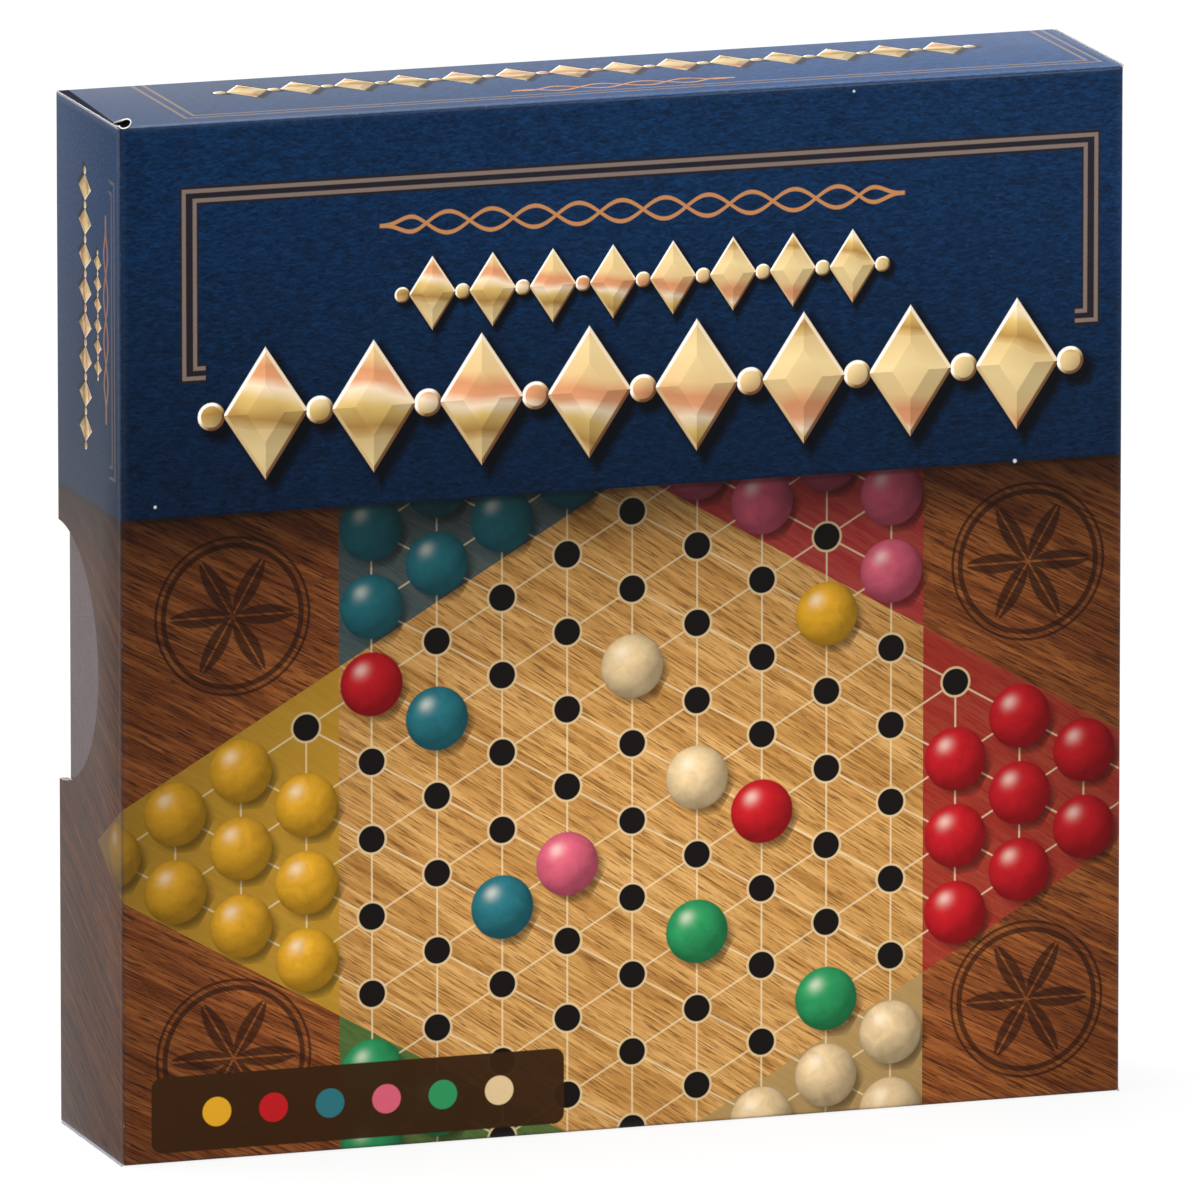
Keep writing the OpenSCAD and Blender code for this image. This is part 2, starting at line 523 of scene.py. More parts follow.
def fold_paper(name, low, high, mouth):
    """Paper over a box that is open towards +Y (mouth 1) or -Y (mouth -1)."""
    piece = block(name, low, high)
    rim_y = high.y if mouth > 0 else low.y
    pick(piece, "FACE", lambda centre, normal: normal.y * mouth > 0.9)
    bpy.ops.mesh.delete(type="ONLY_FACE")
    object_mode()
    weights = piece.data.attributes.new("bevel_weight_edge", "FLOAT", "EDGE")
    points = piece.data.vertices
    for edge in piece.data.edges:
        rim_ends = sum(near(points[i].co.y, rim_y) for i in edge.vertices)
        weights.data[edge.index].value = WEIGHT_BY_RIM_ENDS[rim_ends]
    modify(piece, "BEVEL", limit_method="WEIGHT", width=PANEL_FOLD, segments=FOLD_STEPS)
    pick(piece, "EDGE", lambda a, b: near(a.y, rim_y) and near(b.y, rim_y))
    bpy.ops.mesh.extrude_region_move()
    size = high - low
    inwards = ((size.x - 2 * WALL) / size.x, 1, (size.z - 2 * WALL) / size.z)
    bpy.ops.transform.resize(value=inwards, center_override=(low + high) / 2)
    bpy.ops.mesh.extrude_region_move(TRANSFORM_OT_translate={"value": (0, -mouth * TURN_IN, 0)})
    object_mode()
    thicken(piece, PAPER, -1)
    return piece


lid_low, lid_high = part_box("lid_wrap")
lid_paper = fold_paper("lid_paper", lid_low, lid_high, 1)
print("lid paper faces:", len(lid_paper.data.polygons))

# %% [markdown]
# The half-round thumb notches are punched through both side walls in one stroke, as on the
# real box, by a long cylinder across the rim.

# %% Punch the thumb notches
NOTCH_RADIUS = 33.5 * MM
NOTCH_DROP = 10.35 * MM
lid_middle = (lid_low + lid_high) / 2
notch_z = lid_middle.z - NOTCH_DROP

punch = add(
    "punch",
    bpy.ops.mesh.primitive_cylinder_add,
    vertices=144,
    radius=NOTCH_RADIUS,
    depth=1.2 * (lid_high.x - lid_low.x),
    location=(lid_middle.x, lid_high.y, notch_z),
    rotation=(0, math.pi / 2, 0),
)
cut_out(lid_paper, punch)
smooth(lid_paper)
print("lid paper faces after the punch:", len(lid_paper.data.polygons))

# %% [markdown]
# ## Where a point lies on the flat sheet
# The wrap is printed flat and then folded, so the print on each wall carries on from the panel.
# Each corner of the mesh gets an attribute with its place on the flat sheet in millimetres.
# The print's shader reads that, and never has to know which wall it is on.

# %% Unfold the lid's paper into an attribute
PANEL_SKIN = 1 * MM
OUTWARDS = {"left": (-1, 0), "right": (1, 0), "bottom": (0, -1), "top": (0, 1), "panel": (0, 0)}


def wall_of(face, low, high):
    """The wall that a face of the wrap lies on, or the panel."""
    centre, normal = face.center, face.normal
    if abs(normal.x) > max(abs(normal.y), abs(normal.z)):
        return "left" if centre.x < (low.x + high.x) / 2 else "right"
    if abs(normal.z) > abs(normal.y):
        return "bottom" if centre.z < (low.z + high.z) / 2 else "top"
    if centre.y < low.y + PANEL_SKIN:
        return "panel"
    gaps = {
        "left": centre.x - low.x,
        "right": high.x - centre.x,
        "top": high.z - centre.z,
        "bottom": centre.z - low.z,
    }
    return min(gaps, key=gaps.get)


def unfold(piece, low, high):
    """Give each corner its place on the flat sheet, in millimetres."""
    flat = piece.data.attributes.new("sheet", "FLOAT_VECTOR", "CORNER")
    for face in piece.data.polygons:
        out_x, out_z = OUTWARDS[wall_of(face, low, high)]
        turned_in = face.normal.x * out_x + face.normal.z * out_z < -0.5
        for corner in face.loop_indices:
            point = piece.data.vertices[piece.data.loops[corner].vertex_index].co
            depth = point.y - low.y
            if turned_in:
                depth = 2 * (high.y - low.y) - depth
            sheet = Vector((point.x + out_x * depth, point.z + out_z * depth, 0))
            flat.data[corner].vector = sheet / MM


unfold(lid_paper, lid_low, lid_high)
print("corners laid flat:", len(lid_paper.data.loops))

# %% [markdown]
# ## The printed wrap
# The print has a navy band of grained paper with gold ornament above, and below it a star board
# of oak seen from straight above, with coloured points and balls. The band's ornament is rows of
# gold lozenges and beads inside an open frame of two copper lines.
# First comes the lattice under the board: the nearest of its holes, and the way to it.

# %% The lattice of a star board
ROW = math.sqrt(3) / 2
HOLE_SHIFT = 100


def lattice(u, v, pitch):
    """Three lattice coordinates, the nearest hole's three, and the step from that hole."""
    b = u / (pitch * ROW)
    a = v / pitch - b / 2
    c = 0 - a - b
    near_a, near_b, near_c = (value.math("ROUND") for value in (a, b, c))
    off_a = abs(near_a - a)
    off_b = abs(near_b - b)
    off_c = abs(near_c - c)
    fix_a = (off_a > off_b) * (off_a > off_c)
    fix_b = (1 - fix_a) * (off_b > off_c)
    hole_a = near_a + fix_a * (0 - near_b - near_c - near_a)
    hole_b = near_b + fix_b * (0 - near_a - near_c - near_b)
    hole_c = 0 - hole_a - hole_b
    step_u = u - hole_b * (pitch * ROW)
    step_v = v - (hole_a + hole_b / 2) * pitch
    lines = least(off_a, off_b, off_c) * (pitch * ROW)
    return (a, b, c), (hole_a, hole_b, hole_c), (step_u, step_v), lines


def in_star(a, b, c, reach):
    """1 inside the six-pointed star whose points start at that row."""
    low = least(a, b, c)
    high = most(a, b, c)
    return most(low > -reach, high < reach)


def chance(hole, seed):
    """A fixed random value for each hole; the shift keeps its place above 0."""
    spot = vector(hole[0] + HOLE_SHIFT, hole[1] + HOLE_SHIFT, seed)
    return spot.node(
        "ShaderNodeTexWhiteNoise", {"noise_dimensions": "3D"}, {"Vector": spot}, "Value"
    )


print("lattice rows are", round(ROW, 4), "of a pitch apart")

# %% [markdown]
# Wood is noise pulled out along the grain: a broad one for the figure, a narrow one for streaks
# and a fine one for pores. A photograph of wood would do it too, but this has no edges or repeats.

# %% Oak and dark wood
DARK_WOOD = ink(44, 21, 12)


def grain(u, v, turn, seed):
    """Figure and pores of wood whose grain is turned by an angle in degrees."""
    cos, sin = math.cos(math.radians(turn)), math.sin(math.radians(turn))
    along = u * cos + v * sin
    across = v * cos - u * sin
    figure = noise(vector(along * 0.012, across * 0.24, seed), 6.0, 0.66, 0.6)
    streaks = noise(vector(along * 0.03, across * 0.95, seed + 4.0), 3.0, 0.6)
    pores = noise(vector(along * 0.13, across * 2.3, seed + 9.0), 3.0, 0.6)
    return figure + (streaks - 0.5) * 0.8, pores


def oak(u, v, turn=-34, seed=1.0):
    """Pale oak with dark pores."""
    figure, pores = grain(u, v, turn, seed)
    colour = ramp(
        figure,
        (0.26, ink(148, 100, 45)),
        (0.48, ink(186, 136, 73)),
        (0.66, ink(210, 163, 99)),
        (0.86, ink(176, 125, 63)),
    )
    return paint(colour, ink(92, 56, 26), ease(pores, 0.51, 0.63) * 0.7)


def walnut(u, v, turn=-28, seed=4.0):
    """Brown wood with darker streaks."""
    figure, pores = grain(u, v, turn, seed)
    colour = ramp(
        figure,
        (0.24, ink(84, 40, 19)),
        (0.46, ink(130, 70, 33)),
        (0.66, ink(168, 100, 50)),
        (0.86, ink(122, 66, 32)),
    )
    return paint(colour, DARK_WOOD, ease(pores, 0.5, 0.62) * 0.76)


print("woods ready")

# %% [markdown]
# The board's points have six colours, and so have the balls. The real board and the rules use the
# same colours, so each choice of a colour is a function of its own.

# %% Colours of the points and the balls
HOME_INKS = {
    "left": ink(172, 130, 36),
    "right": ink(142, 18, 28),
    "upper_left": ink(30, 74, 84),
    "upper_right": ink(150, 26, 44),
    "lower_left": ink(38, 92, 44),
    "lower_right": ink(160, 132, 84),
}
BALL_INKS = {
    "left": ink(226, 166, 40),
    "right": ink(190, 26, 34),
    "upper_left": ink(40, 112, 122),
    "upper_right": ink(216, 96, 118),
    "lower_left": ink(44, 146, 88),
    "lower_right": ink(230, 200, 152),
}


def by_home(values, inks, edge):
    """Each point's colour, and where any point is."""
    a, b, c = values
    masks = {
        "left": b < -edge,
        "right": b > edge,
        "upper_left": a > edge,
        "lower_right": a < -edge,
        "upper_right": c < -edge,
        "lower_left": c > edge,
    }
    colour = inks["left"]
    for home, mask in masks.items():
        colour = paint(colour, inks[home], mask)
    return colour, most(*masks.values())


def one_of(inks, number):
    """The ink whose place in its list, from 0, is nearest to a number."""
    colour = inks["left"]
    for place, name in enumerate(inks):
        colour = paint(colour, inks[name], number > place - 0.5)
    return colour


print("points and balls have", len(HOME_INKS), "colours each")

# %% [markdown]
# On the wood the points are thin stains that let the grain show. A hole is a dark disc in a pale
# ring, so one function lays any discs over every hole of the star, the widest first.

# %% Stains and holes
HOME_TINT = 0.88
HOME_START = 4.5
LAST_HOLE = 4.2


def tinted(wood, values, start):
    """Wood under the thin colours of the points, which start at a row."""
    home, is_home = by_home(values, HOME_INKS, start)
    return paint(wood, home, is_home * HOME_TINT)


def ringed_holes(colour, hole, step, *discs):
    """Discs at every hole of the star: each a radius, a soft edge, an ink and a strength."""
    away = length(*step)
    is_hole = in_star(*hole, LAST_HOLE)
    for radius, soft, shade, strength in discs:
        colour = paint(colour, shade, ease(away, radius, radius - soft) * is_hole * strength)
    return colour


print("points start at row", HOME_START, "of the lattice")

# %% [markdown]
# A ball in the print is a disc with the shade, the rim and the small bright spot of a sphere, and
# a soft shadow beside it. White noise on the number of each hole says which holes have one: most
# of those in the points, and a few in the field between them.

# %% Balls in the print
BALL = 8.3
HOME_SHARE, FIELD_SHARE = 0.86, 0.17
SHARE_SEED, COLOUR_SEED = 338.0, 13.0


def ball_shade(colour, u, v):
    """Light and shade of a glossy ball on a flat disc of radius 1, and the disc's mask."""
    reach = u * u + v * v
    out = most(1 - reach, 0.0).math("SQRT")
    lit = most(v * 0.62 - u * 0.46 + out * 0.62, 0.0)
    shade = (lit * 0.62 + 0.42) * (out * 0.4 + 0.66)
    shine = most(v * 0.46 - u * 0.34 + out * 0.82, 0.0) ** 34.0
    ball = paint(dim(colour, shade), ink(255, 244, 226), shine * 0.45)
    return ball, ease(reach, 1.04, 0.94)


def printed_balls(colour, x, z, hole, step):
    """Balls on their holes, each with a shadow on the colour below."""
    own_colour, own_home = by_home(hole, BALL_INKS, HOME_START)
    guest_colour = one_of(BALL_INKS, chance(hole, COLOUR_SEED) * len(BALL_INKS) - 0.5)
    share = chance(hole, SHARE_SEED)
    chosen = most(own_home * (share < HOME_SHARE), share < FIELD_SHARE)
    has_ball = in_star(*hole, LAST_HOLE) * chosen
    u, v = step[0] / BALL, step[1] / BALL
    shadow = ease(length(u - 0.24, v + 0.26), 1.12, 0.7)
    colour = dim(colour, 1 - shadow * has_ball * 0.66)
    mottle = noise(vector(x * 0.22, z * 0.22, 5.0), 4.0, 0.6, 0.8)
    dyed = dim(paint(guest_colour, own_colour, own_home), mottle * 0.7 + 0.65)
    ball, disc = ball_shade(dyed, u, v)
    return paint(colour, ball, disc * has_ball)


print("printed balls have a radius of", BALL, "mm")

# %% [markdown]
# The whole picture is laid down like inks: brown ground, rosettes drawn with a compass, the star
# of oak with its points, lines and holes, and the balls last. One lattice places all of it.

# %% The printed board with its balls
BOARD_X, BOARD_Z = 2.0, 80.0
PITCH = 20.0
LINE_END = 4.03
RING = (4.2, 0.3, ink(206, 180, 138), 0.9)
HOLE = (3.6, 0.3, ink(16, 12, 10), 1.0)
ROSETTE_X, ROSETTE_Z, ROSETTE_RISE, ROSETTE = 106.0, 57.0, 3.0, 17.0


def rosette(u, v):
    """A compass-drawn rosette of six petals in two rings."""
    reach = length(u, v) / ROSETTE
    turn = v.math("ARCTAN2", u).math("PINGPONG", math.pi / 6)
    petal_u, petal_v = reach * turn.math("COSINE"), reach * turn.math("SINE")
    petal = length(petal_u - 0.5, petal_v + ROW) - 1.03
    petals = ease(petal_v, 0.008, 0.024) * ease(petal, 0.0, -0.03) * ease(reach, 0.98, 0.94)
    rings = most(ease(abs(reach - 1.07), 0.05, 0.03), ease(abs(reach - 1.19), 0.03, 0.012))
    return most(petals, rings)


def picture(x, z):
    """The board from above: ground, star, points, lines, holes and balls."""
    u, v = x - BOARD_X, z - BOARD_Z
    values, hole, step, line_gap = lattice(u, v, PITCH)
    drawn = ease(line_gap, 0.36, 0.14) * in_star(*values, LINE_END)
    field = paint(tinted(oak(u, v), values, HOME_START), ink(226, 206, 166), drawn * 0.62)
    field = ringed_holes(field, hole, step, RING, HOLE)
    rosettes = rosette(abs(u) - ROSETTE_X, abs(v - ROSETTE_RISE) - ROSETTE_Z)
    ground = paint(walnut(u, v), DARK_WOOD, rosettes * 0.78)
    colour = paint(ground, field, in_star(*values, HOME_START))
    return printed_balls(colour, x, z, hole, step)


print("printed board has a pitch of", PITCH, "mm")

# %% [markdown]
# Over the picture lies a soft darkening towards its edges and under the band, which makes the
# middle glow. Low on the left is a plain dark panel with six dots, one for each colour.

# %% Shading of the picture and its dark panel
BAND_Z = 166.2
BAND_SHADOW = 20
GLOW_X, GLOW_Z, GLOW_W, GLOW_H = 10, 52, 170, 118
SIDE_SHADES = ((-140.0, -96.0), (140.0, 84.0))
PANEL_X, PANEL_Z, PANEL_W, PANEL_H, PANEL_R = -71.0, 12.5, 110.0, 20.0, 3.0
PANEL_INK = ink(50, 28, 8)
DOT_STEP, DOT = 15, 4.0


def vignette(colour, x, z):
    """Darken the picture towards its edges and under the band."""
    far = length((x - GLOW_X) / GLOW_W, (z - GLOW_Z) / GLOW_H)
    shade = 1.06 - ease(far, 0.3, 1.15) * 0.68
    shade = shade * (0.34 + ease(z, BAND_Z, BAND_Z - BAND_SHADOW) * 0.66)
    for dark_x, light_x in SIDE_SHADES:
        shade = shade * (0.8 + ease(x, dark_x, light_x) * 0.2)
    return dim(colour, shade)


def dark_panel(colour, x, z):
    """A plain rounded panel with a row of six coloured dots."""
    side = most(abs(x - PANEL_X) - (PANEL_W / 2 - PANEL_R), 0.0)
    rise = most(abs(z - PANEL_Z) - (PANEL_H / 2 - PANEL_R), 0.0)
    panel = ease(length(side, rise), PANEL_R, PANEL_R - 0.4)
    colour = paint(colour, PANEL_INK, panel * 0.985)
    step = (x - PANEL_X) / DOT_STEP
    number = least(most((step - 0.5).math("ROUND"), -3.0), 2.0)
    away = length((step - number - 0.5) * DOT_STEP, z - PANEL_Z)
    return paint(colour, one_of(BALL_INKS, number + 3), ease(away, DOT, DOT - 0.4) * 0.85)


print("band starts at z =", BAND_Z, "mm")

# %% [markdown]
# The band's ornament is copper and gold. Copper is plain ink: an open frame of two lines with
# small feet, and a plait of two waves. A mask for each is enough, because it has no shade.

# %% Copper lines and plait
COPPER = ink(116, 100, 91)
FRAME_GROUND = ink(30, 22, 18)
LINE_BLUR = 0.16
PLAIT_INK = ink(178, 122, 74)
PLAIT_WAVE, PLAIT_END = 23, 12


def open_frame(x, z, left, right, bottom, top, line, foot):
    """One line round three sides of a box, with short feet along the fourth."""
    side = abs(x - (left + right) / 2)
    half = (right - left) / 2
    rise = abs(z - (bottom + top) / 2)
    edge = most(side - half, rise - (top - bottom) / 2)
    drawn = ease(abs(edge), line / 2 + LINE_BLUR, line / 2 - LINE_BLUR)
    gap = (z < bottom + line) * (side < half - foot)
    return drawn * (1 - gap)


def plait(along, across, reach, swing):
    """Two crossing waves that thin out to their ends."""
    thin = ease(abs(along), reach, reach - PLAIT_END)
    wave = (along * (math.tau / PLAIT_WAVE)).math("SINE") * thin * swing
    strand = least(abs(across - wave), abs(across + wave))
    return ease(strand, 0.7, 0.35) * ease(abs(along), reach, reach - 0.5)


print("plait has waves of", PLAIT_WAVE, "mm")

# %% [markdown]
# The gold lozenges are drawn as cut metal: each facet takes its light from the way it faces, and
# a thin bright edge and a soft shadow lift it off the paper. A row is worked out in units of its
# own height, so one function draws rows of any size.

# %% Gold lozenges and beads
GEM_STEP, GEM_WIDE, BEAD = 0.84, 0.33, 0.105


def gem_row(along, across, reach):
    """Edge distance and light of an even row of cut lozenges and beads, each lozenge one high."""
    number = (along / GEM_STEP).math("FLOOR") + 0.5
    u = along - least(most(number, 0.5 - reach), reach - 0.5) * GEM_STEP
    gap = (along / GEM_STEP).math("ROUND")
    bead_u = along - least(most(gap, 0 - reach), reach) * GEM_STEP
    edge = (abs(u) / GEM_WIDE + abs(across) / 0.5 - 1) * 0.27
    bead = length(bead_u, across) - BEAD
    facet = across.math("SIGN") * 0.24 - u.math("SIGN") * 0.17 + 0.56
    table = ease(edge, -0.148, -0.156)
    gem_light = facet + table * (0.66 - u * 0.6 + across * 0.5 - facet)
    bead_light = (across - bead_u) * 4.2 + 0.52
    is_bead = bead < edge
    return least(edge, bead), gem_light + is_bead * (bead_light - gem_light)


def gild(colour, along, across, reach, tone):
    """Lay a row of gold, with its shadow and bright edge, over a colour."""
    shadow, _ = gem_row(along - 0.06, across + 0.065, reach)
    colour = dim(colour, 1 - ease(shadow, 0.075, -0.02) * 0.92)
    edge, light = gem_row(along, across, reach)
    sheen = noise(vector(along * 1.7, across * 2.2, 3.0), 2.0) - 0.5
    gold = ramp(
        (0.5 - across - along * 0.13 + sheen * 0.24).math("FLOORED_MODULO", 1.0),
        (0.0, ink(196, 168, 116)),
        (0.2, ink(212, 188, 136)),
        (0.42, ink(208, 176, 124)),
        (0.54, ink(196, 134, 92)),
        (0.62, ink(204, 142, 102)),
        (0.7, ink(224, 202, 172)),
        (0.8, ink(196, 166, 98)),
        (0.93, ink(158, 120, 62)),
        (1.0, ink(190, 160, 106)),
    )
    gold = dim(gold, (light * 0.72 + 0.5) * tone)
    rim = ramp(
        light,
        (0.2, ink(86, 50, 28)),
        (0.55, ink(196, 168, 124)),
        (0.8, ink(250, 246, 238)),
    )
    gold = paint(gold, rim, ease(edge, -0.03, -0.018) * 0.9)
    return paint(colour, gold, ease(edge, 0.005, -0.005))


print("lozenges are", GEM_STEP, "of their height apart")

# %% [markdown]
# The band itself is navy paper with the fine flecks of leather grain. The difference of two noises
# that lie a little apart gives each fleck a light and a dark side, as if lamps shone from above.

# %% Navy paper
NAVY_FADE = (166.0, 258.0)


def navy(place):
    """Navy paper with a leather grain; also the grain's height."""
    x, y, z = place
    flecks = noise(vector(x * 0.5, y * 1.1, z * 1.1), 2.0, 0.5, 0.6)
    upper = noise(vector(x * 0.5, y * 1.1 + 0.28, z * 1.1 + 0.28), 2.0, 0.5, 0.6)
    cloud = clouds(place, 0.02, 2.0)
    colour = ramp(
        flecks + (cloud - 0.5) * 0.3,
        (0.25, ink(4, 26, 52)),
        (0.75, ink(9, 40, 73)),
    )
    # The navy is darker towards the bottom of the band, down to half at its foot, and a little
    # darker towards the left.
    fade = ease(z, *NAVY_FADE) * 0.5 + 0.5 + x * 0.0006
    return dim(colour, ((flecks - upper) * 1.5 + 1) * fade), flecks


print("navy fades from z =", NAVY_FADE[1], "to", NAVY_FADE[0], "mm")

# %% [markdown]
# The front, the top and the two side walls each have their own frame. A frame is a box, the shares
# of the gap between its two lines that draw it in below and above, and the length of its feet.

# %% Frames of the band
HALF_W = (lid_high.x - lid_low.x) / 2 / MM
TOP_Z = lid_high.z / MM
FRAMES = {
    "panel": {"box": (-116.4, 126.0, 201.6, 249.4), "shares": (0.86, 0.86), "foot": 5.6},
    "top": {"box": (-113.5, 129.5, TOP_Z + 7, TOP_Z + 60), "shares": (1, 0), "foot": 300},
    "sides": {"box": (175.8, 251.5, -9.0, -4.4), "shares": (0, 0.8), "foot": 0},
}
LINES = {"panel": 1.05, "top": 0.9, "sides": 0.9}
FRAME_GAP, GROUND_GAP = 2.85, 1.4
GROUND_LINE, GROUND_FOOT = 4.9, 4.4


def inset(name, gap):
    """A frame's box drawn in by a gap at its ends, and by shares of it below and above."""
    left, right, low, high = FRAMES[name]["box"]
    low_share, high_share = FRAMES[name]["shares"]
    return left + gap, right - gap, low + gap * low_share, high - gap * high_share


def frame_lines(x, z):
    """Two copper lines on each face of the band, and the dark ground of the panel's."""
    places = {"panel": (x, z), "top": (x, z), "sides": (z, HALF_W - abs(x))}
    lines = []
    for name, place in places.items():
        for gap in (0.0, FRAME_GAP):
            foot = max(FRAMES[name]["foot"] - gap, 0)
            lines.append(open_frame(*place, *inset(name, gap), LINES[name], foot))
    ground = open_frame(x, z, *inset("panel", GROUND_GAP), GROUND_LINE, GROUND_FOOT)
    return most(*lines), ground


print("frames drawn on", ", ".join(FRAMES))

# %% [markdown]
# Each face also has its own gold rows and plait, and only says where they run and how tall they
# are. These values come in threes: for the panel, for the top and for the side walls.

# %% The band with all its ornament
# The painted sheen on the top wall grows from nothing at x = 70 mm to full at x = -120 mm.
TOP_SHEEN_SPAN = (70.0, -120.0)
ROW_X, SIDE_ROW_Z = 4.9, 215.5
BRAID = {"rise": (237.5, 16, -11.6), "reach": (70, 30, 27), "swing": (2.7, 2.7, 1.7)}
GOLD_ROWS = (
    {"tall": (34, 17, 10.5), "rise": (191.5, 37, -29), "reach": (4, 7, 4), "tone": (1, 0.7, 1)},
    {"tall": (19, 1, 6.4), "rise": (219.5, -9, -18.5), "reach": (4, 4, 3), "tone": (1, 1, 1)},
)


def band(x, z, paper):
    """Frame lines and gold rows over the navy paper, on the panel and on the walls; the walls' navy
    is painted brighter.
    """
    top = z > TOP_Z
    walls = abs(x) > HALF_W
    panel = 1 - most(top, walls)

    def here(values):
        """The one of three values that holds on this face."""
        return panel * values[0] + top * values[1] + walls * values[2]

    lines, ground = frame_lines(x, z)
    # Painted sheen: a pale grey laid over the top wall, strongest towards its left end.
    dust_and_sheen = top * ease(x, *TOP_SHEEN_SPAN) * 0.32
    # Painted light: the navy on the top and side walls is painted 2.2 times as bright as on the
    # front panel, for the light those walls catch; the painted sheen goes over it.
    colour = paint(dim(paper, 2.2 - panel * 1.2), ink(86, 87, 90), dust_and_sheen)
    colour = paint(colour, FRAME_GROUND, ground * 0.8)
    colour = paint(colour, COPPER, lines * (0.92 - walls * 0.35))
    run = (1 - walls) * (x - ROW_X) + walls * (z - SIDE_ROW_Z)
    rise = panel * z + top * (z - TOP_Z) + walls * (HALF_W - abs(x))
    braid = plait(run, rise - here(BRAID["rise"]), here(BRAID["reach"]), here(BRAID["swing"]))
    colour = paint(colour, PLAIT_INK, braid * (0.9 - walls * 0.3))
    for row in GOLD_ROWS:
        tall = here(row["tall"])
        across = (rise - here(row["rise"])) / tall
        colour = gild(colour, run / tall, across, here(row["reach"]), here(row["tone"]))
    return colour


def lid_print(place, sheet_x, sheet_z):
    """The whole print of the lid, and the height of its grain."""
    paper, flecks = navy(place)
    above = band(sheet_x, sheet_z, paper)
    below = vignette(picture(sheet_x, sheet_z), sheet_x, sheet_z)
    below = dark_panel(below, sheet_x, sheet_z)
    is_band = ease(sheet_z, BAND_Z - 0.15, BAND_Z + 0.15)
    border = ease(abs(sheet_z - BAND_Z + 0.4), 1.4, 0.1)
    return dim(paint(below, above, is_band), 1 - border * 0.5), flecks * is_band


print("large gold rows in mm on panel, top and sides:", GOLD_ROWS[0]["tall"])

# %% [markdown]
# Ink on coated paper has a soft gloss. Handling rubs the folds pale, most of all at the corners,
# so the print fades to bare paper there in a broken line. The pale colour along the folds is partly
# rubbed ink and partly a painted sheen, brighter on the walls. A few small specks show the same
# paper, and at the upper left a dark wedge of painted shade stands for the gap of the open seam.

# %% Build the printed finish
LEFT_X, FRONT_Y = lid_low.x / MM, lid_low.y / MM
SPECKS = ((104.4, 166.3, 0.75), (-124.2, 169.3, 0.6), (61.0, 264.4, 0.5))


def fold_gap(place, low, high, panel_y):
    """Distance in millimetres to the nearest fold of a wrapped tray."""
    x, y, z = place
    middle = (low.z + high.z) / 2 / MM
    side = abs(abs(x) - (high.x - low.x) / 2 / MM)
    rise = abs(abs(z - middle) - (high.z - low.z) / 2 / MM)
    depth = abs(y - panel_y / MM)
    return least(most(side, depth), most(side, rise), most(rise, depth))


def rub_and_sheen_folds(colour, place, is_band):
    """Rub the ink thin along the folds, mostly on the walls, with a painted sheen; also where worn
    through.
    """
    fold = fold_gap(place, lid_low, lid_high, lid_low.y)
    rub = clouds(place, 0.5, 5.0, 0.7)
    on_wall = ease(place[1], FRONT_Y + 0.1, FRONT_Y + 0.8)
    # The pale colour along the folds is partly rubbed ink and partly a painted sheen; on the walls
    # it is painted half as bright again.
    rubbed = paint(ink(114, 107, 108), ink(108, 118, 136), is_band)
    rub_and_sheen_mask = ease(fold, 2.6, 0.2) * (rub * 0.4 + 0.04) * (on_wall * 0.8 + 0.2)
    colour = paint(colour, dim(rubbed, on_wall * 0.5 + 1), rub_and_sheen_mask)
    worn = ease(fold, 0.6, 0.2) * ease(rub, 0.6, 0.74)
    return paint(colour, ink(196, 190, 184), worn * 0.6), worn


def printed_wrap():
    """The print with its rubbed folds and their painted sheen, its specks, and painted shade in the
    open seam.
    """
    material, shader, place = new_finish("printed_wrap")
    x, y, z = place
    sheet = x.node("ShaderNodeAttribute", {"attribute_name": "sheet"}, None, "Vector")
    sheet_x, sheet_z, _ = split(sheet)
    colour, flecks = lid_print(place, sheet_x, sheet_z)
    colour, worn = rub_and_sheen_folds(colour, place, sheet_z > BAND_Z)
    for speck_x, speck_z, size in SPECKS:
        away = length(sheet_x - speck_x, sheet_z - speck_z)
        colour = paint(colour, ink(228, 226, 224), ease(away, size, size / 4) * 0.7)
    # Painted shade: a dark wedge on the top wall along its left edge, widening towards the back,
    # stands for the gap of the open seam.
    wedge = (x - LEFT_X) - (y - FRONT_Y) * 0.045
    seam_gap_shade = ease(wedge, 1.1, 0.4) * ease(z, TOP_Z - 0.6, TOP_Z - 0.3)
    colour = dim(colour, 1 - seam_gap_shade * 0.9)
    gloss = 0.24 + clouds(place, 0.03, 3.0) * 0.12 + most(worn * 0.3, seam_gap_shade * 0.6)
    plug(shader, Base_Color=colour, Roughness=gloss, Specular_IOR_Level=0.066)
    bumped(shader, flecks, 0.25, 0.07)
    return material


lid_finish = printed_wrap()
lid_paper.data.materials.append(lid_finish)
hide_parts("lid_wrap")
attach(lid_paper, "lid")
print("nodes in the print:", len(lid_finish.node_tree.nodes))

# %% [markdown]
# ## Paper core, plain paper and chipboard
# Where the punch went through the wrap, the paper shows its white core. The base is wrapped in
# plain grey paper, and grey chipboard carries both. These are pulps: clouds and fibres of noise.

# %% Finishes of pulp
PAPER_WHITE = ink(226, 222, 218)


